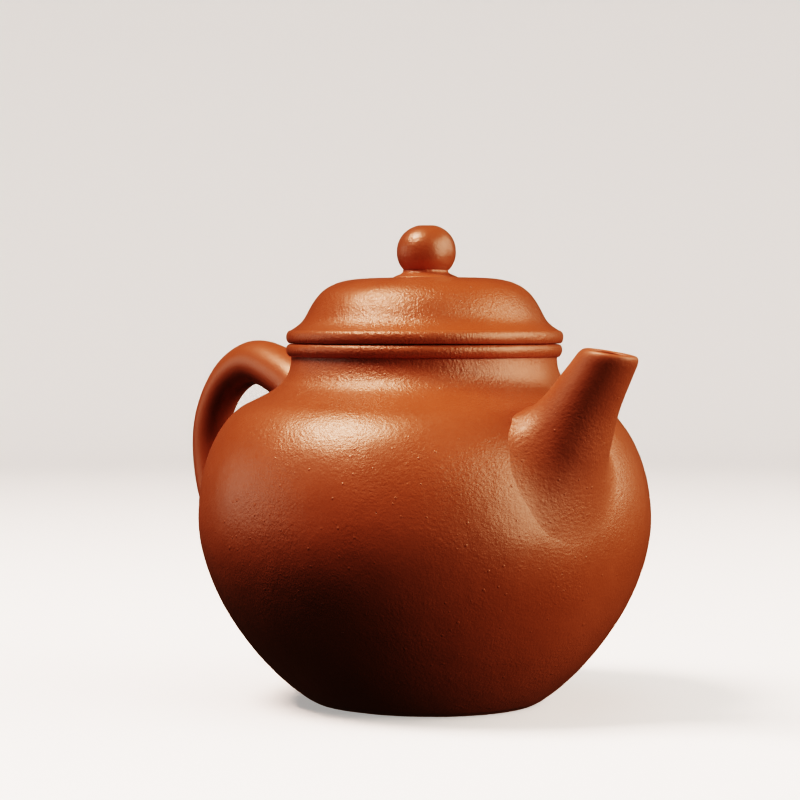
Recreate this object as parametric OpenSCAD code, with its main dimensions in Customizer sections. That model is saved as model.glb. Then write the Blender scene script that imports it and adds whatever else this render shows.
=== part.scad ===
// Small round-bellied clay teapot with a loose lid, built from the separate
// clay pieces that a potter joins with slip. Units are millimetres, +Z is up.
// The origin is the centre of the base, on the axis of the pot.
// The spout points along +X and the handle along -X.

/* [Pot body] */
// Diameter of the belly at its widest
belly_d = 72; // [69:0.5:75]
// Height of the widest part of the belly
belly_z = 29.5; // [28:0.5:31]
// Diameter of the foot that the pot stands on
base_d = 35.4; // [33:0.2:38]
// Outer diameter of the neck under the mouth band
neck_d = 42.2; // [41.6:0.2:42.8]
// Height of the mouth, where the lid rests
mouth_z = 57; // [56.5:0.5:58]
// Thickness of the clay wall
wall = 2.5; // [2.3:0.1:2.6]
// Thickness of the floor
floor_t = 3; // [2.8:0.1:3.4]
// Depth of the hollow pressed into the underside
dimple_depth = 1; // [0.5:0.1:1.2]

/* [Mouth band] */
// Height of the band laid on the neck
band_h = 2.15; // [2:0.05:2.4]
// How far the round edge of the band stands out
band_out = 0.85; // [0.5:0.05:1]

/* [Lid] */
// Diameter of the round edge of the lid rim
rim_d = 44.2; // [43.8:0.2:44.8]
// Height of the rim ring under the dome
rim_h = 2.1; // [1.9:0.1:2.3]
// Height from the mouth to the flat top of the dome
dome_h = 10.4; // [10:0.2:11]
// Thickness of the dome
dome_wall = 2.2; // [1.9:0.1:2.4]
// Depth of the flange that keeps the lid in the neck
flange_h = 7.5; // [5:0.5:9]
// Thickness of the flange
flange_wall = 2; // [1.6:0.1:2.4]
// Gap between the flange and the neck, on the radius
flange_gap = 0.3; // [0.25:0.05:0.5]
// Diameter of the vent hole through the knob and the lid
vent_d = 1.8; // [1.4:0.1:2.2]

/* [Knob] */
// Diameter of the knob
knob_d = 9.4; // [8.8:0.2:10]
// Height from the dome to the top of the knob
knob_h = 8.45; // [8.2:0.05:8.8]
// Height of the flared collar under the knob
collar_h = 1.3; // [1:0.1:1.6]

/* [Spout] */
// Lean of the spout above the horizontal, in degrees
spout_lean = 54; // [52:0.5:56]
// Outer diameter of the spout at its mouth
spout_tip_d = 8.7; // [8.2:0.1:9.2]
// Outer diameter of the spout where it leaves the belly
spout_root_d = 13.6; // [13:0.2:14.2]
// Bore of the spout at its mouth
spout_bore_tip_d = 5.8; // [5.4:0.1:6]
// Bore of the spout at the belly
spout_bore_root_d = 9.6; // [9:0.2:10]
// Slope of the spout's mouth below the horizontal, in degrees
spout_mouth_slope = 11; // [8:1:20]

/* [Strainer] */
// Outer radius of the pierced dome behind the spout
strainer_r = 6.6; // [6.2:0.1:7]
// Thickness of the pierced dome
strainer_wall = 1.1; // [1:0.1:1.3]
// Diameter of each strainer hole
strainer_hole_d = 1.7; // [1.4:0.1:1.8]

/* [Handle] */
// Thickness of the handle at its upper root
handle_top_d = 9; // [8:0.2:9.6]
// Thickness of the handle at its lower end
handle_end_d = 4.8; // [4.4:0.2:6]

/* [Hidden] */
$fn = 144;

clay = [0.71, 0.34, 0.20];
clay_light = [0.76, 0.38, 0.23];
clay_dark = [0.62, 0.29, 0.17];

belly_r = belly_d / 2;
base_r = base_d / 2;
neck_r = neck_d / 2;
neck_bore_r = neck_r - wall;
band_z = mouth_z - band_h;
band_face = 0.1;

// Joints between the clay pieces of the body, from the foot up
shoulder_joint_z = mouth_z - 10.5;
neck_joint_z = mouth_z - 6.5;

// Outline of the body: foot to belly, belly to shoulder, shoulder to neck
foot_lean = 30;
foot_pull = 10.3;
foot_ring_w = 3.5;
belly_pull_down = 10.6;
belly_pull_up = 8.4;
shoulder_r = 28;
shoulder_z = mouth_z - 9.5;
shoulder_slope = 26.5;
shoulder_pull_out = 4.9;
shoulder_pull_in = 4.3;
neck_z = mouth_z - 2;
neck_pull = 4.6;
neck_blend = 0.05;

// Outline of the lid dome: a hollow curve over the rim, then a round shoulder
rim_r = rim_d / 2;
rim_face_r = rim_r - 0.7;
dome_turn_r = 18.6;
dome_turn_z = mouth_z + 5.2;
dome_flat_r = 8;
dome_z = mouth_z + dome_h;
dome_foot_lean = 150;
dome_foot_pull = 2.1;
dome_turn_lean = 117;
dome_turn_pull_in = 1.7;
dome_turn_pull_out = 4.4;
dome_flat_pull = 6.6;
flange_r = neck_bore_r - flange_gap;
flange_bore_r = flange_r - flange_wall;

// Where the spout's axis meets the belly, and how far the mouth is from there
spout_root = [33.4, 0, 43.2];
spout_len = 15.4;
// The spout starts inside the body and is cut to length beyond its mouth
spout_flare_r = 8.6;
spout_buried = 9;
spout_spare = 4;
spout_root_s = 3;
// The spout narrows quickly above the belly, then is almost straight
spout_root_bulge = 0.6;
spout_root_pinch = 0.7;
spout_waist_s = spout_len / 2;
spout_waist_r = (spout_root_d + spout_tip_d) / 4 - 0.2;
spout_taper = [[0.5, spout_len * 0.7], [0.1, spout_len - 1]];

// Centre line of the handle, from inside the shoulder to inside the belly
handle_line = [
    [-22, 42], [-28, 46.5], [-35.5, 51], [-45.5, 53.5], [-54.5, 49.5],
    [-59.2, 40], [-57, 28.5], [-48.5, 21.5], [-37, 19.5], [-30, 19]
];
handle_steps = 6;
handle_sides = 24;

// Rings of strainer holes: the angle off the axis, and how many holes
strainer_rings = [[0, 1], [27, 6], [53, 10]];
strainer_s = -3;
strainer_hole_fn = 24;

// The collar flares out to the dome below a narrow waist
collar_flare = 1.15;
collar_waist_r = knob_d / 2 - 1.15;

// The knob is a ball that is a little square in section
knob_roundness = 2.4;
knob_middle_drop = 0.15;
knob_half_h = knob_h / 2 + 0.2;
knob_steps = 24;

// Room that a cutting shape needs beyond the clay
clear = 1;

function bezier(a, b, c, d, steps) = [
    for (i = [0:steps]) let (t = i / steps, s = 1 - t)
        s * s * s * a + 3 * s * s * t * b + 3 * s * t * t * c + t * t * t * d
];

// Smooth curve through a, b, c and d, between b and c
function catmull(a, b, c, d, t) = 0.5 * (
    2 * b + (c - a) * t + (2 * a - 5 * b + 4 * c - d) * t * t
    + (3 * b - a - 3 * c + d) * t * t * t
);

function unit(v) = v / norm(v);
function polar(angle) = [cos(angle), sin(angle)];
function tail(points) = [for (i = [1:len(points) - 1]) points[i]];

// The points moved to the left of their direction of travel by a distance
function inset(points, distance) = [
    for (i = [0:len(points) - 1])
        let (
            before = points[max(i - 1, 0)],
            after = points[min(i + 1, len(points) - 1)],
            along = unit(after - before)
        )
        points[i] + distance * [-along.y, along.x]
];

// Half of an ellipse that stands out from a vertical line at radius r
function round_edge(r, z_low, z_high, out) = [
    for (a = [-90:15:90])
        [r + out * cos(a), (z_low + z_high) / 2 + (z_high - z_low) / 2 * sin(a)]
];

foot = [base_r, 0];
belly = [belly_r, belly_z];
shoulder = [shoulder_r, shoulder_z];
neck = [neck_r, neck_z];
inward = polar(180 - shoulder_slope);

body_outline = concat(
    bezier(foot, foot + foot_pull * polar(foot_lean), belly - [0, belly_pull_down], belly, 14),
    tail(bezier(belly, belly + [0, belly_pull_up], shoulder - shoulder_pull_out * inward, shoulder, 12)),
    tail(bezier(shoulder, shoulder + shoulder_pull_in * inward, neck - [0, neck_pull], neck, 10))
);

body_inside = [
    for (p = inset(body_outline, wall)) if (p.y > floor_t && p.x > neck_bore_r + neck_blend) p
];

dome_foot = [rim_face_r, mouth_z + rim_h];
dome_turn = [dome_turn_r, dome_turn_z];
dome_flat = [dome_flat_r, dome_z];
dome_rise = polar(dome_turn_lean);

dome_outline = concat(
    bezier(
        dome_foot, dome_foot + dome_foot_pull * polar(dome_foot_lean),
        dome_turn - dome_turn_pull_in * dome_rise, dome_turn, 8
    ),
    tail(bezier(
        dome_turn, dome_turn + dome_turn_pull_out * dome_rise,
        dome_flat + [dome_flat_pull, 0], dome_flat, 10
    ))
);

dome_inside = [
    for (p = inset(dome_outline, dome_wall)) if (p.y > mouth_z + rim_h && p.x < flange_bore_r) p
];

// Section of the body as if it were solid clay, up to the top of the mouth
module body_section() {
    polygon(concat([[0, 0]], body_outline, [[neck_r, mouth_z], [0, mouth_z]]));
}

// Section of the space for the tea, open at the mouth
module cavity_section() {
    polygon(concat(
        [[0, floor_t], [body_inside[0].x - 1, floor_t]], body_inside,
        [[neck_bore_r, neck_z], [neck_bore_r, mouth_z + clear], [0, mouth_z + clear]]
    ));
}

module body_solid() {
    rotate_extrude() body_section();
}

// The part of the body's shell between two heights
module shell(z_low, z_high) {
    rotate_extrude() intersection() {
        difference() {
            body_section();
            cavity_section();
        }
        translate([0, z_low]) square([belly_r + clear, z_high - z_low]);
    }
}

// Places a shape on the spout's axis, with +Z along the axis towards the mouth
module on_spout_axis() {
    translate(spout_root) rotate([0, 90 - spout_lean, 0]) children();
}

// The taper carries on past the belly and the mouth, so each end is a clean cut
module spout_bore() {
    run = spout_len + spout_root_s;
    slope = (spout_bore_tip_d - spout_bore_root_d) / 2 / run;
    low = -spout_buried;
    high = spout_len + spout_spare;
    on_spout_axis()
        translate([0, 0, low])
            cylinder(
                r1 = spout_bore_tip_d / 2 + slope * (low - spout_len),
                r2 = spout_bore_tip_d / 2 + slope * (high - spout_len),
                h = high - low
            );
}

module base_disc() {
    dimple_r = base_r - foot_ring_w;
    color(clay_dark) difference() {
        shell(0, floor_t);
        // The thumb-pressed hollow leaves a flat ring to stand on
        rotate_extrude()
            polygon(concat(
                [[0, -clear], [dimple_r, -clear]],
                [for (a = [0:10:90]) [dimple_r * cos(a), dimple_depth * sin(a)]]
            ));
    }
}

module body_wall() {
    color(clay) difference() {
        shell(floor_t, shoulder_joint_z);
        spout_bore();
    }
}

module shoulder_disc() {
    color(clay) shell(shoulder_joint_z, neck_joint_z);
}

module neck_ring() {
    color(clay) shell(neck_joint_z, band_z);
}

module mouth_band() {
    color(clay_light) rotate_extrude()
        polygon(concat(
            [[neck_bore_r, band_z]],
            round_edge(neck_r + band_face, band_z, mouth_z, band_out),
            [[neck_bore_r, mouth_z]]
        ));
}

module spout() {
    tip_r = spout_tip_d / 2;
    root_r = spout_root_d / 2;
    waist = [spout_waist_r, spout_waist_s];
    end_s = spout_len + spout_spare;
    outline = concat(
        [[0, -spout_buried]],
        bezier(
            [spout_flare_r, -spout_buried], [root_r + spout_root_bulge, -spout_root_s],
            [root_r - spout_root_pinch, spout_root_s], waist, 8
        ),
        tail(bezier(
            waist, [tip_r, 0] + spout_taper[0], [tip_r, 0] + spout_taper[1], [tip_r, end_s], 6
        )),
        [[0, end_s]]
    );
    // Longer than the spout is wide
    knife = 40;
    color(clay) difference() {
        on_spout_axis() rotate_extrude() polygon(outline);
        body_solid();
        spout_bore();
        // The mouth is cut off nearly level, a little lower at the front
        on_spout_axis()
            translate([0, 0, spout_len])
                rotate([0, spout_lean - 90 + spout_mouth_slope, 0])
                    translate([0, 0, knife / 2]) cube(knife, center = true);
    }
}

module ball_strainer() {
    color(clay_dark) intersection() {
        on_spout_axis() translate([0, 0, strainer_s]) difference() {
            sphere(r = strainer_r);
            sphere(r = strainer_r - strainer_wall);
            for (ring = strainer_rings, i = [0:ring[1] - 1])
                rotate([180, 0, 360 / ring[1] * i]) rotate([0, ring[0], 0])
                    cylinder(d = strainer_hole_d, h = strainer_r + clear, $fn = strainer_hole_fn);
        }
        rotate_extrude() cavity_section();
    }
}

module handle() {
    spans = len(handle_line) - 1;
    line = concat([2 * handle_line[0] - handle_line[1]], handle_line,
        [2 * handle_line[spans] - handle_line[spans - 1]]);
    path = concat(
        [for (i = [0:spans - 1], k = [0:handle_steps - 1])
            catmull(line[i], line[i + 1], line[i + 2], line[i + 3], k / handle_steps)],
        [handle_line[spans]]
    );
    last = len(path) - 1;
    rings = [
        for (i = [0:last])
            let (
                along = unit(path[min(i + 1, last)] - path[max(i - 1, 0)]),
                r = (handle_top_d + (handle_end_d - handle_top_d) * i / last) / 2
            )
            for (k = [0:handle_sides - 1])
                let (a = 360 * k / handle_sides)
                [
                    path[i].x - along.y * r * cos(a), r * sin(a),
                    path[i].y + along.x * r * cos(a)
                ]
    ];
    sides = [
        for (i = [0:last - 1], k = [0:handle_sides - 1])
            let (m = (k + 1) % handle_sides, low = i * handle_sides, high = low + handle_sides)
            [low + k, low + m, high + m, high + k]
    ];
    ends = [
        [for (k = [handle_sides - 1:-1:0]) k],
        [for (k = [0:handle_sides - 1]) last * handle_sides + k]
    ];
    color(clay) difference() {
        polyhedron(points = rings, faces = concat(sides, ends));
        body_solid();
    }
}

module lid_rim() {
    color(clay_light) rotate_extrude()
        polygon(concat(
            [[flange_bore_r, mouth_z]],
            round_edge(rim_face_r, mouth_z, mouth_z + rim_h, rim_r - rim_face_r),
            [[flange_bore_r, mouth_z + rim_h]]
        ));
}

module lid_flange() {
    color(clay_dark) rotate_extrude()
        translate([flange_bore_r, mouth_z - flange_h]) square([flange_wall, flange_h]);
}

module lid_dome() {
    inner_top = dome_z - dome_wall;
    color(clay) difference() {
        rotate_extrude()
            polygon(concat(
                dome_outline, [[0, dome_z], [0, inner_top]],
                [for (i = [len(dome_inside) - 1:-1:0]) dome_inside[i]],
                [[flange_bore_r, mouth_z + rim_h]]
            ));
        translate([0, 0, inner_top - clear]) cylinder(d = vent_d, h = dome_wall + 2 * clear);
    }
}

module knob_collar() {
    color(clay) rotate_extrude()
        polygon(concat(
            [[vent_d / 2, dome_z]],
            [for (a = [0:15:90])
                [collar_waist_r + collar_flare * (1 - sin(a)), dome_z + collar_h * (1 - cos(a))]],
            [[vent_d / 2, dome_z + collar_h]]
        ));
}

function knob_r(z) =
    let (off = abs(z - dome_z - knob_h / 2 + knob_middle_drop) / knob_half_h)
    knob_d / 2 * pow(1 - pow(off, knob_roundness), 1 / knob_roundness);

module knob() {
    low_z = dome_z + collar_h;
    high_z = dome_z + knob_h;
    heights = [
        for (i = [0:knob_steps])
            (low_z + high_z) / 2 - (high_z - low_z) / 2 * cos(180 * i / knob_steps)
    ];
    color(clay_light) rotate_extrude()
        polygon(concat(
            [[vent_d / 2, low_z]], [for (z = heights) [knob_r(z), z]], [[vent_d / 2, high_z]]
        ));
}

base_disc();
body_wall();
shoulder_disc();
neck_ring();
mouth_band();
spout();
ball_strainer();
handle();
lid_rim();
lid_flange();
lid_dome();
knob_collar();
knob();
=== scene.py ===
"""Small round clay teapot with a loose lid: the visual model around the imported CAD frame.

Lengths inside the shape functions are millimetres, like the CAD source, and the meshes
are written in metres. The spout points along +X, the handle along -X and +Z is up.
"""
import math

import bpy
import numpy as np
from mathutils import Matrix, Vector, noise


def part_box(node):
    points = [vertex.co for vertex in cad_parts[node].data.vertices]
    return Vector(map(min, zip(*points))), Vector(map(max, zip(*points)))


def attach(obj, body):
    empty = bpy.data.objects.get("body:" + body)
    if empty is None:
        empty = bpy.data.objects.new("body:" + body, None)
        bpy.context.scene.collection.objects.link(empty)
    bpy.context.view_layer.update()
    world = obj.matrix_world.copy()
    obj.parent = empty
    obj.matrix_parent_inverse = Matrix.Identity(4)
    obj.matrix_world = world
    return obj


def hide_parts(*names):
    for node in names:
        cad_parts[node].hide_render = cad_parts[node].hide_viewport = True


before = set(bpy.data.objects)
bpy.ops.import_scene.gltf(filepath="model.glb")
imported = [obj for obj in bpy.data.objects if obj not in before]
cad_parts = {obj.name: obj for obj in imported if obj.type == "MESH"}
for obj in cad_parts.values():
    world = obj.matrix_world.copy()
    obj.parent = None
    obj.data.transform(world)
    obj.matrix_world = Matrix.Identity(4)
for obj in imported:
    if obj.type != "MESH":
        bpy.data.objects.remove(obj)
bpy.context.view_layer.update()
MM = 0.001


# ---------------------------------------------------------------- driving sizes, in mm

def cad_box(node):
    """The lowest and highest corners of a CAD node, in mm."""
    low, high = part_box(node)
    return np.array(low) / MM, np.array(high) / MM


BELLY_R = cad_box("body_wall")[1][1]
MOUTH_Z = cad_box("mouth_band")[1][2]
BAND_R = cad_box("mouth_band")[1][0]
BAND_Z = cad_box("mouth_band")[0][2]
RIM_R = cad_box("lid_rim")[1][0]
RIM_TOP_Z = cad_box("lid_rim")[1][2]
DOME_Z = cad_box("lid_dome")[1][2]
FLANGE_R = cad_box("lid_flange")[1][0]
FLANGE_Z = cad_box("lid_flange")[0][2]
COLLAR_Z = cad_box("knob_collar")[1][2]
KNOB_Z = cad_box("knob")[1][2]
KNOB_R = cad_box("knob")[1][0]
FLOOR_Z = cad_box("base_disc")[1][2]
SHOULDER_JOINT_Z = cad_box("shoulder_disc")[0][2]
NECK_JOINT_Z = cad_box("neck_ring")[0][2]

WALL = 2.5
FOOT_R = 17.7
BELLY_Z = 29.5
# Where the shoulder and the neck lie on the outline, as radius and height
SHOULDER = np.array([28.0, MOUTH_Z - 9.5])
SHOULDER_SLOPE = 26.5
NECK = np.array([21.1, MOUTH_Z - 2.0])
NECK_BORE_R = NECK[0] - WALL
FLANGE_WALL = 2.0
LID_BORE_R = FLANGE_R - FLANGE_WALL
DOME_WALL = 2.2
VENT_R = 0.9


# ---------------------------------------------------------------- curves

def polar(degrees):
    return np.array([math.cos(math.radians(degrees)), math.sin(math.radians(degrees))])


def bezier(a, b, c, d, steps=40):
    t = np.linspace(0, 1, steps + 1)[:, None]
    s = 1 - t
    return s**3 * a + 3 * s * s * t * b + 3 * s * t * t * c + t**3 * d


def catmull(points, steps=24):
    """A smooth curve through the points, which may hold a radius or more after x and z."""
    p = np.asarray(points, float)
    p = np.vstack([2 * p[0] - p[1], p, 2 * p[-1] - p[-2]])
    spans = []
    for a, b, c, d in zip(p, p[1:], p[2:], p[3:]):
        t = np.linspace(0, 1, steps, endpoint=False)[:, None]
        spans.append(0.5 * (2 * b + (c - a) * t + (2 * a - 5 * b + 4 * c - d) * t**2
                            + (3 * b - a - 3 * c + d) * t**3))
    return np.vstack(spans + [p[-2:-1]])


def join(*curves):
    """One list of points, without the repeated point where two curves meet."""
    points = [np.atleast_2d(curves[0])]
    for curve in curves[1:]:
        curve = np.atleast_2d(curve)
        same = np.linalg.norm(curve[0] - points[-1][-1]) < 1e-6
        points.append(curve[1:] if same else curve)
    return np.vstack([p for p in points if len(p)])


def even(points, step):
    """The same open curve with points about step apart."""
    along = np.concatenate([[0], np.cumsum(np.linalg.norm(np.diff(points, axis=0), axis=1))])
    at = np.linspace(0, along[-1], max(int(round(along[-1] / step)), 1) + 1)
    return np.stack([np.interp(at, along, points[:, k]) for k in range(points.shape[1])], 1)


def inset(points, distance):
    """The curve moved to the left of its direction of travel."""
    along = np.gradient(points, axis=0)
    along /= np.linalg.norm(along, axis=1)[:, None]
    return points + distance * np.stack([-along[:, 1], along[:, 0]], 1)


def between(curve, z_low, z_high):
    """The stretch of a rising curve between two heights, cut exactly at both."""
    r_low, r_high = np.interp([z_low, z_high], curve[:, 1], curve[:, 0])
    inner = curve[(curve[:, 1] > z_low + 1e-4) & (curve[:, 1] < z_high - 1e-4)]
    return np.vstack([[r_low, z_low], inner, [r_high, z_high]])


def rounded(corners, radii, steps=5):
    """A closed polygon's corners, each rounded by its own radius or left sharp by 0."""
    corners = np.asarray(corners, float)
    t = np.linspace(0, 1, steps + 1)[:, None]
    points = []
    for i, (corner, radius) in enumerate(zip(corners, radii)):
        if radius <= 0:
            points.append(corner[None])
            continue
        ends = [corner + (n - corner) / np.linalg.norm(n - corner) * radius
                for n in (corners[i - 1], corners[(i + 1) % len(corners)])]
        points.append((1 - t)**2 * ends[0] + 2 * t * (1 - t) * corner + t**2 * ends[1])
    return np.vstack(points)


# ---------------------------------------------------------------- outlines of the pot

def body_outline():
    """The outside of the body, from the edge of the foot up to the mouth."""
    foot, belly = np.array([FOOT_R, 0.0]), np.array([BELLY_R, BELLY_Z])
    inward = polar(180 - SHOULDER_SLOPE)
    return join(
        bezier(foot, foot + 10.3 * polar(30), belly - [0, 11.1], belly),
        bezier(belly, belly + [0, 8.4], SHOULDER - 4.9 * inward, SHOULDER),
        bezier(SHOULDER, SHOULDER + 4.3 * inward, NECK - [0, 4.6], NECK),
        [NECK[0] - 0.05, MOUTH_Z],
    )


OUTSIDE = even(body_outline(), 0.25)
wall_inside = inset(OUTSIDE, WALL)
INSIDE = np.vstack([wall_inside[wall_inside[:, 0] > NECK_BORE_R], [NECK_BORE_R, MOUTH_Z]])


def body_radius(z):
    return np.interp(z, OUTSIDE[:, 1], OUTSIDE[:, 0])


def body_slope(z):
    """How much the body's radius grows for each mm of height."""
    return (body_radius(z + 0.1) - body_radius(z - 0.1)) / 0.2


# ---------------------------------------------------------------- the hand of the potter

# Each layer of unevenness left by the potter's hands: its height and its length, in mm
HAND_LAYERS = [(0.15, 23.0), (0.045, 7.0), (0.020, 2.6), (0.016, 1.1)]
# How far the belly slumps, in mm, and the level direction in which it does
LEAN = 0.42
LEAN_TOWARDS = polar(50)
# The slump fades out over this much height, which ends this far above the shoulder
LEAN_FADE, LEAN_TOP = 6, 3


def wobble(points):
    """How far hand-forming pushes the clay out, in mm, at points given in mm."""
    out = np.zeros(len(points))
    for i, p in enumerate(points):
        v = Vector(p)
        out[i] = sum(height * noise.noise(v / length) for height, length in HAND_LAYERS)
    return out


def leaning(points):
    """The belly slumps a hair to one side: lower there above its middle, and fuller below."""
    side = points[:, :2] @ LEAN_TOWARDS
    fade = np.clip((SHOULDER[1] + LEAN_TOP - points[:, 2]) / LEAN_FADE, 0, 1)
    return -LEAN * fade * side * (points[:, 2] - BELLY_Z) / BELLY_R**2


def formed(points, centre, amount=1.0):
    """The points, pushed away from a centre by the wobble, and none below the table."""
    away = points - np.asarray(centre, float)
    away /= np.maximum(np.linalg.norm(away, axis=1), 1e-9)[:, None]
    points = points + away * (amount * wobble(points) + leaning(points))[:, None]
    points[:, 2] = np.maximum(points[:, 2], 0)
    return points


BODY_CENTRE = (0, 0, 30)
LID_CENTRE = (0, 0, 48)


# ---------------------------------------------------------------- meshes

# A lathed outline that bends by more degrees than this keeps a sharp edge there
SHARP_BEND = 34
# A smaller radius than this lies on the axis, where the outline gives a single point
ON_AXIS = 1e-6


def make_mesh(name, points, faces, sharp=()):
    """A smooth-shaded object from points in mm, with the given edges left sharp."""
    mesh = bpy.data.meshes.new(name)
    mesh.from_pydata((np.asarray(points) * MM).tolist(), [], faces)
    mesh.polygons.foreach_set("use_smooth", [True] * len(mesh.polygons))
    if len(sharp):
        keys = {tuple(sorted(e)) for e in sharp}
        flags = [tuple(sorted(e.vertices)) in keys for e in mesh.edges]
        mesh.attributes.new("sharp_edge", "BOOLEAN", "EDGE").data.foreach_set("value", flags)
    mesh.update()
    piece = bpy.data.objects.new(name, mesh)
    bpy.context.collection.objects.link(piece)
    return piece


def lathe(name, outline, centre, segments, amount=1.0, axis=(0.0, 0.0)):
    """A closed outline of (radius, height), counter-clockwise, turned round an upright axis."""
    outline = np.asarray(outline, float)
    count = len(outline)
    turn = np.linspace(0, 2 * math.pi, segments, endpoint=False)
    points, rows, faces = [], [], []
    for r, z in outline:
        if r < ON_AXIS:
            rows.append([len(points)] * segments)
            points.append((axis[0], axis[1], z))
        else:
            rows.append(range(len(points), len(points) + segments))
            points += [(axis[0] + r * c, axis[1] + r * s, z)
                       for c, s in zip(np.cos(turn), np.sin(turn))]
    for i in range(count):
        low, high = rows[i], rows[(i + 1) % count]
        if outline[i][0] < ON_AXIS and outline[(i + 1) % count][0] < ON_AXIS:
            continue
        for j in range(segments):
            k = (j + 1) % segments
            corners = [low[j], low[k], high[k], high[j]]
            faces.append(tuple(dict.fromkeys(corners)))
    sharp = []
    for i in range(count):
        before = outline[i] - outline[i - 1]
        after = outline[(i + 1) % count] - outline[i]
        bend = math.degrees(math.acos(np.clip(
            before @ after / (np.linalg.norm(before) * np.linalg.norm(after) + 1e-12), -1, 1)))
        if bend > SHARP_BEND and outline[i][0] > ON_AXIS:
            sharp += [(rows[i][j], rows[i][(j + 1) % segments]) for j in range(segments)]
    return make_mesh(name, formed(np.array(points), centre, amount), faces, sharp)


# The height of the thin row at each joint of the body, and the length of a row inside it
JOINT_ROW = 0.03
INNER_STEP = 1.6


def shell_outline(z_low, z_high, step):
    """The section of the body's wall between two heights, with a thin row at each joint."""
    outer = between(OUTSIDE, z_low, z_high)
    inner = between(INSIDE, z_low, z_high)
    middle = between(OUTSIDE, z_low + JOINT_ROW, z_high - JOINT_ROW)
    outer = join(outer[:1], even(middle, step), outer[-1:])
    return join(outer, even(inner, INNER_STEP)[::-1])


# ---------------------------------------------------------------- limbs: spout and handle

# How far the edge of a fillet sinks into the body, so that no gap shows under it
EDGE_SUNK = 0.01


def body_normal(points):
    """The outward direction of the body's surface near the points."""
    x, y, z = points.T
    r = np.maximum(np.hypot(x, y), 1e-9)
    n = np.stack([x / r, y / r, -body_slope(z)], 1)
    return n / np.linalg.norm(n, axis=1)[:, None]


def on_body(points, lift=0.0):
    """The points moved along the normal on to the body's surface, or a lift above it."""
    for _ in range(8):
        x, y, z = points.T
        miss = (np.hypot(x, y) - body_radius(z)) / np.sqrt(1 + body_slope(z)**2) - lift
        points = points - miss[:, None] * body_normal(points)
    return points


def tube_rings(line, sides, tilt=None):
    """Rings round a centre line of (x, z, radius) in the plane y = 0.

    Side 0 is to the left of the direction of travel, and tilt, one angle in degrees for
    each ring, leans a ring's plane towards that side.
    """
    tilt = np.zeros(len(line)) if tilt is None else tilt
    along = np.gradient(line[:, :2], axis=0)
    heading = np.arctan2(along[:, 1], along[:, 0])
    turn = np.linspace(0, 2 * math.pi, sides, endpoint=False)
    rings = []
    for (x, z, r), angle, lean in zip(line, heading, np.radians(tilt)):
        across = angle + math.pi / 2 + lean
        reach = r * np.cos(turn) / math.cos(lean)
        rings.append(np.stack([x + reach * math.cos(across), r * np.sin(turn),
                               z + reach * math.sin(across)], 1))
    return np.array(rings)


def first_outside(rings):
    """For each side, where its line of points leaves the body: a position along the rings."""
    x, y, z = rings[..., 0], rings[..., 1], rings[..., 2]
    clear = np.hypot(x, y) - body_radius(z)
    at = np.empty(rings.shape[1])
    for side in range(rings.shape[1]):
        inside = np.nonzero(clear[:, side] < 0)[0]
        last = inside[-1] if len(inside) else 0
        a, b = clear[last, side], clear[min(last + 1, len(rings) - 1), side]
        at[side] = last + (a / (a - b) if a != b else 0)
    return at


def sample(rings, side, at):
    """The point on one side's line at fractional positions along the rings."""
    steps = np.arange(len(rings))
    return np.stack([np.interp(at, steps, rings[:, side, k]) for k in range(3)], 1)


def sample_each(rings, at):
    """The point on every side's line, each at its own position along the rings."""
    return np.array([sample(rings, side, [at[side]])[0] for side in range(rings.shape[1])])


def stretch(rings, starts, ends, count):
    """The rings cut and spaced out again: count of them, from starts to ends on each side."""
    starts, ends = (np.broadcast_to(v, rings.shape[1]) for v in (starts, ends))
    return np.array([sample(rings, side, np.linspace(starts[side], ends[side], count))
                     for side in range(rings.shape[1])]).transpose(1, 0, 2)


def root(rings, up, out, crisp, steps=16):
    """Rings that carry a tube on to the body.

    For each side, or as one number for all of them, up is the length of tube that the
    fillet takes and out is how far it runs over the body. With crisp 0 it flows into the
    body, and with crisp 1 it runs straight down to a sharp corner.
    Returns the rings from the body upwards, and where each side's tube takes over.
    """
    up, out, crisp = (np.broadcast_to(v, rings.shape[1]) for v in (up, out, crisp))
    meets = first_outside(rings)
    pitch = np.linalg.norm(np.diff(rings, axis=0), axis=2).mean(0)
    starts = meets + up / pitch
    hit = sample_each(rings, meets)
    top = sample_each(rings, starts)
    turn = sample_each(rings, meets + crisp * up / pitch)
    normal = body_normal(hit)
    away = hit - hit.mean(0)
    away -= normal * (away * normal).sum(1)[:, None]
    away /= np.linalg.norm(away, axis=1)[:, None]
    edge = on_body(hit + away * out[:, None], lift=-EDGE_SUNK)
    fillet = []
    for t in np.linspace(0, 1, steps + 1):
        over_body = edge * (1 - t) + turn * t
        flat = on_body(over_body, lift=-EDGE_SUNK * (1 - t))
        over_body = flat + (over_body - flat) * np.minimum(4 * crisp, 1)[:, None]
        up_tube = turn * (1 - t) + top * t
        share = t**3 * (10 - 15 * t + 6 * t * t)
        share = (share + (t - share) * np.minimum(2 * crisp, 1))[:, None]
        fillet.append(over_body * (1 - share) + up_tube * share)
    return np.array(fillet), starts


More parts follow.
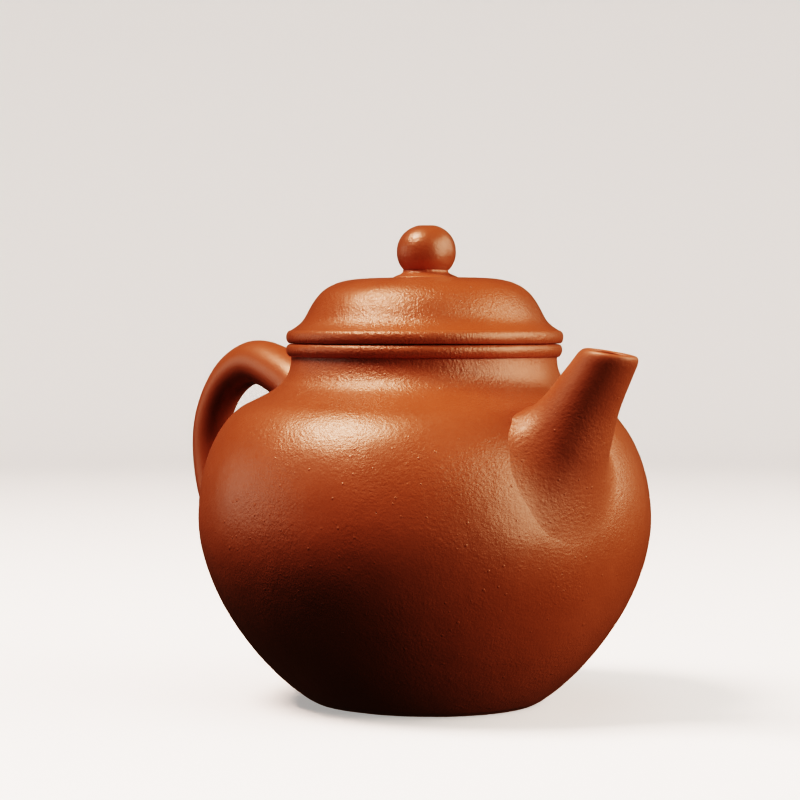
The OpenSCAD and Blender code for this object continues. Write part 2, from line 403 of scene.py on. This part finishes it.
def limb_mesh(name, rings, closed, sharp_rings):
    """A mesh over rings of equal length; closed joins the last ring to the first."""
    count, sides = rings.shape[:2]
    points = rings.reshape(-1, 3)
    faces = []
    for i in range(count if closed else count - 1):
        m = (i + 1) % count
        for k in range(sides):
            n = (k + 1) % sides
            faces.append((i * sides + k, i * sides + n, m * sides + n, m * sides + k))
    if not closed:
        points = np.vstack([points, rings[0].mean(0), rings[-1].mean(0)])
        first, last = len(points) - 2, len(points) - 1
        faces += [(first, (k + 1) % sides, k) for k in range(sides)]
        base = (count - 1) * sides
        faces += [(last, base + k, base + (k + 1) % sides) for k in range(sides)]
    points = formed(points, BODY_CENTRE)
    a, b, c = (points[[f[i] for f in faces]] for i in range(3))
    volume = (a * np.cross(b, c)).sum() + sum(
        points[f[0]] @ np.cross(points[f[2]], points[f[3]]) for f in faces if len(f) == 4)
    if volume < 0:
        faces = [f[::-1] for f in faces]
    sharp = [(i * sides + k, i * sides + (k + 1) % sides)
             for i in sharp_rings for k in range(sides)]
    return make_mesh(name, points, faces, sharp)


# ---------------------------------------------------------------- the pieces of the pot

def make_base():
    """The floor disc, hollowed underneath so that it stands on a flat ring."""
    ring_r, ring_top = FOOT_R - 0.9, 0.78
    dimple_r, dimple_rise = FOOT_R - 3.5, 1.0
    dimple = [(dimple_r * math.cos(a), dimple_rise * math.sin(a))
              for a in np.linspace(0, math.pi / 2, 30)][::-1]
    dimple[0] = (0.0, dimple_rise)
    edge = bezier((ring_r, 0.0), (ring_r + 0.75, 0.0), (ring_r + 1.15, 0.25),
                  (FOOT_R + 1.25, ring_top), 8)
    side = between(OUTSIDE, ring_top, FLOOR_Z)
    side = side[side[:, 0] > edge[-1, 0]]
    top = even(np.array([[body_radius(FLOOR_Z), FLOOR_Z], [0.0, FLOOR_Z]]), 1.5)
    outline = join(np.array(dimple), even(edge, 0.3), side, top)
    return lathe("foot", outline, BODY_CENTRE, 256)


def make_wall():
    outline = shell_outline(FLOOR_Z, SHOULDER_JOINT_Z, 0.46)
    return lathe("belly_wall", outline, BODY_CENTRE, 640)


def make_shoulder():
    outline = shell_outline(SHOULDER_JOINT_Z, NECK_JOINT_Z, 0.36)
    return lathe("shoulder", outline, BODY_CENTRE, 640)


def make_neck():
    outline = shell_outline(NECK_JOINT_Z, BAND_Z, 0.3)
    return lathe("neck", outline, BODY_CENTRE, 560)


def make_band():
    """The round-edged band that the lid rests on."""
    bead = bezier((NECK[0] - 0.1, BAND_Z), (BAND_R - 0.05, BAND_Z - 0.1),
                  (BAND_R + 0.3, MOUTH_Z - 0.2), (BAND_R - 0.75, MOUTH_Z - 0.06), 18)
    outline = join([NECK_BORE_R + 0.1, BAND_Z], even(bead, 0.16), [BAND_R - 1.3, MOUTH_Z],
                   [NECK_BORE_R + 0.4, MOUTH_Z], [NECK_BORE_R, MOUTH_Z - 0.4])
    return lathe("mouth_bead", outline, BODY_CENTRE, 560)


# The spout's centre line, as x, z and radius, from inside the belly outwards
SPOUT_LINE = [(29.9, 37.4, 7.7), (33.4, 43.25, 6.7), (37.5, 49.3, 5.2), (42.1, 55.5, 4.1),
              (44.4, 58.4, 3.95)]
SPOUT_STEP = 0.4
SPOUT_SIDES = 192
# The middle of the mouth, as x and z, and how its plane tips forwards and sideways
SPOUT_MOUTH = (41.8, 56.5)
SPOUT_MOUTH_SLOPE = 8.8
SPOUT_MOUTH_ROLL = 5.0
# The radius of the bore at its inner and outer ends
SPOUT_BORE = (5.4, 2.55)
# Counted in rings down from the mouth: where the rings begin to turn level with it, and
# where the rounded lip begins on the outside and ends in the bore
LEVEL_FROM = 22
LIP_OUTSIDE = 3.6
LIP_INSIDE = 1.7
# Rings inside the body's wall, by their share of the way from the fillet to the bore
SPOUT_WALL_RINGS = (0.04, 0.35, 0.7, 0.96)
SPOUT_WALL_DEPTH = 0.15
# Round the spout's root: side, length up the spout, reach over the belly, crispness.
# Side 0 faces the lid, 90 is +Y, 180 is underneath and 270 is -Y
SPOUT_ROOT = [(0, 4.2, 1.3, 0.1), (60, 3.8, 1.9, 0.15), (90, 5.4, 2.7, 0.1),
              (120, 7.8, 4.2, 0.05), (155, 9.4, 6.2, 0.0), (200, 9.4, 7.2, 0.0),
              (240, 7.2, 5.4, 0.0), (272, 6.6, 3.3, 0.26), (300, 6.4, 2.3, 0.3),
              (330, 5.4, 1.3, 0.2)]


def around(keys, angles):
    """Smooth values at the angles, from rows that start with an angle in degrees."""
    keys = np.array(keys)
    keys = np.vstack([keys[-1] - [360, 0, 0, 0], keys, keys[0] + [360, 0, 0, 0]])
    values = []
    for angle in angles:
        k = int(np.searchsorted(keys[:, 0], angle, side="right"))
        t = (angle - keys[k - 1, 0]) / (keys[k, 0] - keys[k - 1, 0])
        t = t * t * (3 - 2 * t)
        values.append(keys[k - 1, 1:] * (1 - t) + keys[k, 1:] * t)
    return np.array(values).T


def make_spout():
    line = even(catmull(SPOUT_LINE), SPOUT_STEP)
    heading = np.degrees(np.arctan2(*np.gradient(line[:, :2], axis=0).T[::-1]))
    reach = np.hypot(line[:, 0] - SPOUT_MOUTH[0], line[:, 1] - SPOUT_MOUTH[1])
    last = int(np.argmin(reach))
    line, heading = line[:last + 1], heading[:last + 1]
    level = np.clip((np.arange(last + 1) - (last - LEVEL_FROM)) / LEVEL_FROM, 0, 1)
    level = level * level * (3 - 2 * level)
    tilt = (90 - SPOUT_MOUTH_SLOPE - heading) * level
    inner_line = line.copy()
    inner_line[:, 2] = np.linspace(*SPOUT_BORE, len(line))
    outer, inner = (tube_rings(rail, SPOUT_SIDES, tilt) for rail in (line, inner_line))
    for rings in (outer, inner):
        rings[..., 2] -= math.tan(math.radians(SPOUT_MOUTH_ROLL)) * rings[..., 1] * level[:, None]

    up, out, crisp = around(SPOUT_ROOT, np.arange(SPOUT_SIDES) * 360 / SPOUT_SIDES)
    fillet, starts = root(outer, up, out, crisp, steps=26)
    tube = stretch(outer, starts, last - LIP_OUTSIDE, 41)[1:]
    bore = stretch(inner, first_outside(inner), last - LIP_INSIDE, 20)
    lip = spout_lip(tube[-1], outer[-1], inner[-1], bore[-1])
    hidden = [on_body(fillet[0] * (1 - w) + bore[0] * w, -SPOUT_WALL_DEPTH)
              for w in SPOUT_WALL_RINGS]
    rings = np.concatenate([fillet, tube, lip, bore[::-1], np.array(hidden)[::-1]])
    return limb_mesh("spout_tube", rings, closed=True, sharp_rings=(0,))


def spout_lip(outer_low, outer_top, inner_top, inner_low):
    """Rings over the rounded lip, from the outside of the tube into the bore."""
    crest = outer_top * 0.5 + inner_top * 0.5
    corner = outer_top * 0.94 + inner_top * 0.06
    rings = []
    for start, turn, end, steps in ((outer_low, corner, crest, 10),
                                    (crest, inner_top, inner_low, 7)):
        for w in np.linspace(0, 1, steps + 1)[1:]:
            rings.append((1 - w)**2 * start + 2 * w * (1 - w) * turn + w * w * end)
    return np.array(rings[:-1])


# The handle's centre line, as x, z and radius, from the shoulder round to the lower belly
HANDLE_LINE = [(-22, 42, 4.6), (-28, 46.5, 4.4), (-35.5, 51, 4.1), (-45.5, 53.5, 3.75),
               (-54.25, 49.3, 3.4), (-59.0, 40, 3.1), (-57, 28.5, 2.8), (-48.5, 21.5, 2.6),
               (-37, 19.5, 2.6), (-30, 19, 2.7)]
HANDLE_STEP = 0.6
HANDLE_SIDES = 72
# Rings inside the body's wall that close an end, by their size beside the fillet's edge
HANDLE_END_RINGS = (0.94, 0.6, 0.25)
HANDLE_END_DEPTH = 0.3


def handle_end(edge):
    """Rings that close an end of the handle inside the body's wall."""
    middle = edge.mean(0)
    return np.array([on_body(edge * w + middle * (1 - w), -HANDLE_END_DEPTH)
                     for w in HANDLE_END_RINGS])


def make_handle():
    line = even(catmull(HANDLE_LINE), HANDLE_STEP)
    rings = tube_rings(line, HANDLE_SIDES)
    side = np.linspace(0, 2 * math.pi, HANDLE_SIDES, endpoint=False)
    top_fillet, top_starts = root(
        rings, up=3.6, out=2.4 + 0.6 * np.abs(np.sin(side)), crisp=0.12)
    low_fillet, low_starts = root(rings[::-1], up=3.4, out=2.3, crisp=0.08)
    tube = stretch(rings, top_starts, len(rings) - 1 - low_starts, 130)[1:-1]
    stack = np.concatenate([handle_end(top_fillet[0])[::-1], top_fillet, tube,
                            low_fillet[::-1], handle_end(low_fillet[0])])
    edges = (len(HANDLE_END_RINGS), len(stack) - 1 - len(HANDLE_END_RINGS))
    return limb_mesh("handle_loop", stack, closed=False, sharp_rings=edges)


# ---------------------------------------------------------------- the pieces of the lid

# The lid, its collar and its knob sit a little to one side, as on any hand-made pot
LID_AXIS = (0.06, 0.07)
COLLAR_AXIS = (0.12, 0.14)
KNOB_AXIS = (0.21, 0.245)
# The power of the knob's outline: 2 is an ellipse, and more is fuller at the corners
KNOB_POWER = 2.15


def dome_outline():
    """The outside of the dome, from the rim up to the axis."""
    foot, turn = np.array([RIM_R - 0.75, RIM_TOP_Z]), np.array([18.5, MOUTH_Z + 5.2])
    flat = np.array([8.0, DOME_Z])
    rise = polar(117)
    return join(
        bezier(foot, foot + 2.1 * polar(150), turn - 1.7 * rise, turn),
        bezier(turn, turn + 4.2 * rise, flat + [6.55, 0], flat),
        [0.0, DOME_Z],
    )


def make_dome():
    outer = dome_outline()
    inner = inset(even(outer, 0.25), DOME_WALL)
    inner = inner[(inner[:, 1] > RIM_TOP_Z) & (inner[:, 0] < LID_BORE_R)
                  & (inner[:, 0] > VENT_R)]
    outer = even(outer[outer[:, 0] > VENT_R], 0.28)
    outline = join(outer, [VENT_R, DOME_Z], [VENT_R, DOME_Z - DOME_WALL],
                   even(inner, 1.2)[::-1], [LID_BORE_R, RIM_TOP_Z])
    return lathe("lid_cap", outline, LID_CENTRE, 480, amount=0.8, axis=LID_AXIS)


def make_rim():
    """The ring whose round edge sits on the mouth band."""
    low_r = FLANGE_R + 2.3
    bead = bezier((low_r + 0.9, MOUTH_Z + 0.05), (RIM_R + 0.02, MOUTH_Z + 0.05),
                  (RIM_R + 0.22, RIM_TOP_Z - 0.1), (RIM_R - 0.75, RIM_TOP_Z), 18)
    outline = join([LID_BORE_R, MOUTH_Z], [low_r, MOUTH_Z], even(bead, 0.16),
                   [LID_BORE_R, RIM_TOP_Z])
    return lathe("lid_bead", outline, LID_CENTRE, 560, axis=LID_AXIS)


def make_flange():
    """The wall under the rim that keeps the lid in the neck."""
    outline = rounded([(LID_BORE_R, FLANGE_Z), (FLANGE_R, FLANGE_Z), (FLANGE_R, MOUTH_Z),
                       (LID_BORE_R, MOUTH_Z)], [0.7, 0.9, 0, 0])
    return lathe("lid_flange_ring", outline, LID_CENTRE, 256, amount=0.4, axis=LID_AXIS)


def make_collar():
    waist = KNOB_R - 1.15
    flare = bezier((waist + 1.75, DOME_Z - 0.08), (waist + 1.5, DOME_Z + 0.55),
                   (waist - 0.15, DOME_Z + 0.5), (waist + 0.05, COLLAR_Z), 18)
    outline = join([VENT_R, DOME_Z - 0.05], flare, [VENT_R, COLLAR_Z])
    return lathe("knob_foot", outline, LID_CENTRE, 224, amount=0.7, axis=COLLAR_AXIS)


def make_knob():
    """A ball, fuller than a sphere, with the vent hole down its middle."""
    middle = (DOME_Z + KNOB_Z) / 2 - 0.1
    rise = np.cos(np.linspace(0, math.pi, 60))
    z = (COLLAR_Z + KNOB_Z) / 2 - (KNOB_Z - COLLAR_Z) / 2 * rise
    half = np.where(z > middle, KNOB_Z - middle + 0.05, middle - DOME_Z)
    share = np.minimum(np.abs(z - middle) / half, 1)
    r = KNOB_R * (1 - share**KNOB_POWER)**(1 / KNOB_POWER)
    ball = np.stack([r, z], 1)
    ball = ball[ball[:, 0] > VENT_R + 0.35]
    lip = bezier(ball[-1], ball[-1] + [-0.3, 0.03], (VENT_R, KNOB_Z - 0.02),
                 (VENT_R, KNOB_Z - 0.45), 6)
    outline = join([VENT_R, COLLAR_Z], ball, lip)
    return lathe("knob_ball", outline, LID_CENTRE, 224, amount=0.5, axis=KNOB_AXIS)


# ---------------------------------------------------------------- shader nodes

def node(tree, kind, links=(), **values):
    """Adds a shader node; links pair an input's name or number with a socket or a value."""
    n = tree.nodes.new(kind)
    for key, value in values.items():
        setattr(n, key, value)
    for name, source in links:
        if hasattr(source, "is_output"):
            tree.links.new(source, n.inputs[name])
        else:
            n.inputs[name].default_value = source
    return n


def ramp(tree, value, low, high, from_low, from_high, smooth=True):
    """Maps low..high of a value to from_low..from_high."""
    return node(tree, "ShaderNodeMapRange",
                [("Value", value), (1, low), (2, high), (3, from_low), (4, from_high)],
                interpolation_type="SMOOTHSTEP" if smooth else "LINEAR").outputs[0]


def times(tree, a, b):
    return node(tree, "ShaderNodeMath", [(0, a), (1, b)], operation="MULTIPLY").outputs[0]


def minus(tree, a, b):
    return node(tree, "ShaderNodeMath", [(0, a), (1, b)], operation="SUBTRACT").outputs[0]


def blended(tree, share, a, b):
    """The value a where share is 0, and b where it is 1."""
    return node(tree, "ShaderNodeMix", [(0, share), (2, a), (3, b)]).outputs[0]


def tinted(tree, share, a, b):
    """The colour a where share is 0, and b where it is 1."""
    return node(tree, "ShaderNodeMix", [(0, share), (6, a), (7, b)],
                data_type="RGBA").outputs[2]


def cloudy(tree, place, per_metre, detail, roughness=0.5, distortion=0.0):
    """Soft noise, with about per_metre features to the metre."""
    return node(tree, "ShaderNodeTexNoise", [
        ("Vector", place), ("Scale", per_metre), ("Detail", detail),
        ("Roughness", roughness), ("Distortion", distortion)]).outputs["Fac"]


def grains(tree, place, per_metre, share, low, high):
    """Round grains strewn over the surface: 1 at the middle of each, 0 between them.

    Share is the share of the noise's cells that hold one, and low..high is their radius
    as a part of a cell.
    """
    cells = node(tree, "ShaderNodeTexVoronoi", [("Vector", place), ("Scale", per_metre)])
    pick = node(tree, "ShaderNodeSeparateColor", [(0, cells.outputs["Color"])])
    chosen = ramp(tree, pick.outputs[0], 1 - share, 1.02 - share, 0.0, 1.0, smooth=False)
    size = ramp(tree, pick.outputs[1], 0.0, 1.0, low, high, smooth=False)
    near = minus(tree, size, cells.outputs["Distance"])
    return times(tree, ramp(tree, near, 0.0, low, 0.0, 1.0), chosen)


def raised(tree, height, distance, below=None):
    """A layer of bump on top of the one below it."""
    links = [("Height", height), ("Distance", distance), ("Strength", 1.0)]
    if below is not None:
        links.append(("Normal", below))
    return node(tree, "ShaderNodeBump", links).outputs[0]


# ---------------------------------------------------------------- the clay

# The fineness of each layer, in features to the metre
CLOUDS, SAND, PALE_SPECKS = 70.0, 2600.0, 1100.0
PATCHES, STROKE_TURNS, STROKES, GRIT = 85.0, 38.0, 1350.0, 2200.0
PIMPLES, PITS = 900.0, 800.0
# The depth of each layer of relief, in metres
STROKE_DEPTH, GRIT_DEPTH, PIMPLE_DEPTH, PIT_DEPTH = 0.00006, 0.00006, 0.00004, 0.00006
# The strokes are squeezed into level ones in some patches and upright ones in others
LEVEL_SQUEEZE, UPRIGHT_SQUEEZE = (1.0, 1.0, 1.6), (1.5, 1.5, 0.9)
# The heights, in metres, between which the skin turns from the belly's to the neck's
NECK_FROM, NECK_TO = 0.044, 0.052

DARK = (0.312, 0.091, 0.034, 1)
LIGHT = (0.381, 0.117, 0.052, 1)
# Painted shade: the knob's two colours are the body's clay made about 15 % darker all over,
# standing for shade on the knob
KNOB_SHADED_DARK = (0.262, 0.077, 0.029, 1)
KNOB_SHADED_LIGHT = (0.321, 0.100, 0.043, 1)
PALE_SPECK_COLOUR = (0.60, 0.27, 0.12, 1)
# Painted shade: the colour that darkens the pinholes, standing for the shade inside them
PIT_SHADE_COLOUR = (0.10, 0.018, 0.006, 1)
SHEEN_TINT = (1.0, 0.70, 0.54, 1)


def clay(name, dark=DARK, light=LIGHT, roughness=0.37, polish=0.28, skin=1.0, grit=1.0,
         fineness=1.0, specks=1.0, neck=1.0):
    """Fired unglazed clay: mottled colour, sandy specks, painted shade darkening its pinholes, and
    a wrinkled, gritty skin.

    Roughness is that of the broad sheen and polish that of the tighter gloss. Skin, grit
    and specks are the strength of strokes, grit, and pimples and pits; fineness is how
    fine the first two are, and neck is how much stronger they are on the neck.
    """
    material = bpy.data.materials.new(name)
    material.use_nodes = True
    tree = material.node_tree
    tree.nodes.clear()
    place = node(tree, "ShaderNodeTexCoord").outputs["Object"]

    # Colour: soft clouds, fine sand, a few pale specks, and painted shade that darkens the pinholes
    clouds = ramp(tree, cloudy(tree, place, CLOUDS, 5.0), 0.3, 0.7, 0.0, 1.0)
    tone = blended(tree, 0.35, clouds, cloudy(tree, place, SAND, 1.0))
    colour = tinted(tree, tone, dark, light)
    pale = grains(tree, place, PALE_SPECKS, share=0.05, low=0.07, high=0.16)
    colour = tinted(tree, times(tree, pale, 0.6), colour, PALE_SPECK_COLOUR)
    # Painted shade: the pinholes are darkened as though shade lay inside them, and the same pits
    # are sunk in the relief below
    pits = grains(tree, place, PITS, share=0.035, low=0.07, high=0.15)
    colour = tinted(tree, times(tree, pits, 0.55), colour, PIT_SHADE_COLOUR)

    # Relief: fine strokes left by smoothing, patches of grit, pimples and pinholes
    patchy = ramp(tree, cloudy(tree, place, PATCHES, 2.0), 0.35, 0.65, 0.55, 1.25)
    height = node(tree, "ShaderNodeSeparateXYZ", [("Vector", place)]).outputs["Z"]
    patchy = times(tree, patchy, ramp(tree, height, NECK_FROM, NECK_TO, 1.0, neck))
    level_strokes, upright_strokes = (
        cloudy(tree, node(tree, "ShaderNodeMapping",
                          [("Vector", place), ("Scale", squeeze)]).outputs[0],
               STROKES * fineness, 3.0, distortion=0.15)
        for squeeze in (LEVEL_SQUEEZE, UPRIGHT_SQUEEZE))
    way = ramp(tree, cloudy(tree, place, STROKE_TURNS, 2.0), 0.42, 0.58, 0.0, 1.0)
    peel = blended(tree, way, level_strokes, upright_strokes)
    gritty = cloudy(tree, place, GRIT * fineness, 3.0, roughness=0.6)
    pimples = grains(tree, place, PIMPLES, share=0.22, low=0.12, high=0.26)
    relief = raised(tree, times(tree, peel, patchy), STROKE_DEPTH * skin)
    relief = raised(tree, times(tree, gritty, patchy), GRIT_DEPTH * grit, relief)
    relief = raised(tree, pimples, PIMPLE_DEPTH * specks, relief)
    relief = raised(tree, times(tree, pits, -1.0), PIT_DEPTH * specks, relief)

    # A broad sheen from the dry clay, and a tighter gloss where it has been burnished
    sheen = ramp(tree, peel, 0.3, 0.7, roughness + 0.05, roughness - 0.05, smooth=False)
    shader = node(tree, "ShaderNodeBsdfPrincipled", [
        ("Base Color", colour), ("Roughness", sheen), ("Normal", relief), ("IOR", 1.5),
        ("Specular IOR Level", 1.0), ("Specular Tint", SHEEN_TINT), ("Coat Weight", 0.26),
        ("Coat Roughness", polish), ("Coat IOR", 1.5), ("Coat Normal", relief)])
    node(tree, "ShaderNodeOutputMaterial", [("Surface", shader.outputs[0])])
    return material


body_clay = clay("body_clay", skin=0.75, fineness=1.1, neck=1.8)
neck_clay = clay("neck_clay", roughness=0.42, polish=0.33, skin=0.85, fineness=1.1, neck=1.8)
lid_clay = clay("lid_clay", roughness=0.33, polish=0.18, skin=0.75, grit=1.7, fineness=1.25,
                specks=2.6)
band_clay = clay("band_clay", polish=0.31, skin=1.6, grit=1.9, fineness=1.1, specks=1.6)
spout_clay = clay("spout_clay", roughness=0.50, polish=0.37, skin=1.2, grit=1.2, specks=1.3)
handle_clay = clay("handle_clay", polish=0.42, skin=0.35, grit=0.4, specks=0.5)
# The knob's clay carries painted shade in its darker colours
knob_clay = clay("knob_clay", KNOB_SHADED_DARK, KNOB_SHADED_LIGHT, roughness=0.39, polish=0.22, skin=1.1,
                 grit=1.3, specks=1.5)
inner_clay = clay("inner_clay", roughness=0.7, polish=0.55, skin=0.8)


# ---------------------------------------------------------------- the object

def dressed(piece, material, slot, body, *nodes):
    """Gives a piece its material and its body, and hides the CAD nodes that it stands for. The slot
    is not used.
    """
    piece.data.materials.clear()
    piece.data.materials.append(material)
    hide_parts(*nodes)
    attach(piece, body)


dressed(make_base(), body_clay, "foot_clay", "pot", "base_disc")
dressed(make_wall(), body_clay, "body_clay", "pot", "body_wall")
dressed(make_shoulder(), body_clay, "body_clay", "pot", "shoulder_disc")
dressed(make_neck(), neck_clay, "body_clay", "pot", "neck_ring")
dressed(make_band(), band_clay, "band_clay", "pot", "mouth_band")
dressed(make_spout(), spout_clay, "spout_clay", "pot", "spout")
dressed(make_handle(), handle_clay, "handle_clay", "pot", "handle")
dressed(make_rim(), band_clay, "band_clay", "lid", "lid_rim")
dressed(make_flange(), inner_clay, "inner_clay", "lid", "lid_flange")
dressed(make_dome(), lid_clay, "lid_clay", "lid", "lid_dome")
dressed(make_collar(), band_clay, "knob_clay", "lid", "knob_collar")
dressed(make_knob(), knob_clay, "knob_clay", "lid", "knob")

# The strainer's CAD shape is right as it is, and only takes its clay
for material_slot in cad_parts["ball_strainer"].material_slots:
    material_slot.material = inner_clay


# ---------------------------------------------------------------- floor, light and camera

PAPER_COLOUR = (0.80, 0.79, 0.77, 1)
PAPER_GLOW = (0.95, 0.95, 0.93, 1)
PAPER_GLOW_STRENGTH = 0.28
# The floor, in mm: the radius of its flat middle, of the bend around it, and its height
FLOOR_FLAT_R, FLOOR_BEND, FLOOR_HEIGHT = 700, 400, 900
FLOOR_SIDES = 96


def floor_paper():
    """Matt paper with a faint even glow, so that it stays pale all over."""
    material = bpy.data.materials.new("pale_paper")
    material.use_nodes = True
    shader = material.node_tree.nodes["Principled BSDF"]
    shader.inputs["Base Color"].default_value = PAPER_COLOUR
    shader.inputs["Roughness"].default_value = 0.9
    shader.inputs["Emission Color"].default_value = PAPER_GLOW
    shader.inputs["Emission Strength"].default_value = PAPER_GLOW_STRENGTH
    material.cycles.emission_sampling = "NONE"
    return material


def make_floor():
    """A pale sheet on the table that curves up around the pot on every side."""
    section = [(0, 0), (FLOOR_FLAT_R, 0)] + [
        (FLOOR_FLAT_R + FLOOR_BEND * math.sin(a), FLOOR_BEND * (1 - math.cos(a)))
        for a in np.linspace(0, math.pi / 2, 20)[1:]
    ] + [(FLOOR_FLAT_R + FLOOR_BEND, FLOOR_HEIGHT)]
    sides, points, faces = FLOOR_SIDES, [], []
    for r, z in section:
        points += [(r * math.cos(2 * math.pi * k / sides), r * math.sin(2 * math.pi * k / sides), z)
                   for k in range(sides)]
    for i in range(len(section) - 1):
        faces += [(i * sides + k, i * sides + (k + 1) % sides, (i + 1) * sides + (k + 1) % sides,
                   (i + 1) * sides + k) for k in range(sides)]
    floor = make_mesh("studio_floor", points, faces)
    floor.data.materials.append(floor_paper())
    # The paper throws no light on to the pot, so its underside stays dark
    floor.visible_diffuse = False
    floor.visible_glossy = False
    return floor


VIEW_AZIMUTH = math.radians(50)
VIEW_RIGHT = Vector((math.cos(VIEW_AZIMUTH), math.sin(VIEW_AZIMUTH), 0))
VIEW_AWAY = Vector((-math.sin(VIEW_AZIMUTH), math.cos(VIEW_AZIMUTH), 0))
UP = Vector((0, 0, 1))
# The camera, in metres: its distance from the pot's axis and its height
CAMERA_DISTANCE, CAMERA_HEIGHT = 0.400, 0.0597
CAMERA_LENS = 113.08
# How far the camera looks down, and how far left of the pot's axis, in degrees
LOOK_DOWN, LOOK_LEFT = 1.673, 0.554
# The point that every light is aimed at, in metres
LIGHTS_AIM = Vector((0, 0, 0.04))
WORLD_COLOUR = (1.0, 0.65, 0.45, 1)
WORLD_STRENGTH = 0.034


def make_light(name, bearing, elevation, size, power, colour=(1, 1, 1), distance=0.6):
    """A softbox aimed at the pot, with its size and distance in metres and angles in degrees.

    A bearing of 0 is the camera's right, and 90 is away from the camera.
    """
    data = bpy.data.lights.new(name, "AREA")
    data.shape = "RECTANGLE"
    data.size, data.size_y = size
    data.energy = power
    data.color = colour
    lamp = bpy.data.objects.new(name, data)
    turn, rise = math.radians(bearing), math.radians(elevation)
    level = VIEW_RIGHT * math.cos(turn) + VIEW_AWAY * math.sin(turn)
    lamp.location = LIGHTS_AIM + distance * (level * math.cos(rise) + UP * math.sin(rise))
    lamp.rotation_euler = (LIGHTS_AIM - lamp.location).to_track_quat("-Z", "Y").to_euler()
    bpy.context.collection.objects.link(lamp)
    return lamp


def light_only(lamp, receiver):
    """Keeps a lamp's light to one object."""
    group = bpy.data.collections.new(lamp.name + "_receives")
    group.objects.link(receiver)
    lamp.light_linking.receiver_collection = group


def make_camera():
    data = bpy.data.cameras.new("view")
    data.sensor_width = 36
    data.lens = CAMERA_LENS
    camera = bpy.data.objects.new("view", data)
    camera.location = VIEW_AWAY * -CAMERA_DISTANCE + UP * CAMERA_HEIGHT
    camera.rotation_euler = (math.radians(90 - LOOK_DOWN), 0,
                             VIEW_AZIMUTH + math.radians(LOOK_LEFT))
    bpy.context.collection.objects.link(camera)
    bpy.context.scene.camera = camera


floor = make_floor()
make_light("key_softbox", 194, 59, (0.27, 0.25), 4.8, (1.0, 0.745, 0.65))
make_light("side_softbox", 331, 16, (0.52, 0.62), 4.05, (1.0, 0.85, 0.74))
make_light("edge_softbox", 12, 24, (0.40, 0.46), 1.5, (1.0, 0.80, 0.68))
make_light("low_fill", 176, 8, (0.55, 0.25), 0.38)
room_light = make_light("room_light", 0, 90, (1.2, 1.2), 8.0, distance=1.6)
light_only(room_light, floor)
make_camera()

world = bpy.data.worlds.new("studio")
world.use_nodes = True
world.node_tree.nodes["Background"].inputs["Color"].default_value = WORLD_COLOUR
world.node_tree.nodes["Background"].inputs["Strength"].default_value = WORLD_STRENGTH
bpy.context.scene.world = world
bpy.context.scene.view_settings.view_transform = "Filmic"
bpy.context.scene.view_settings.look = "Very High Contrast"
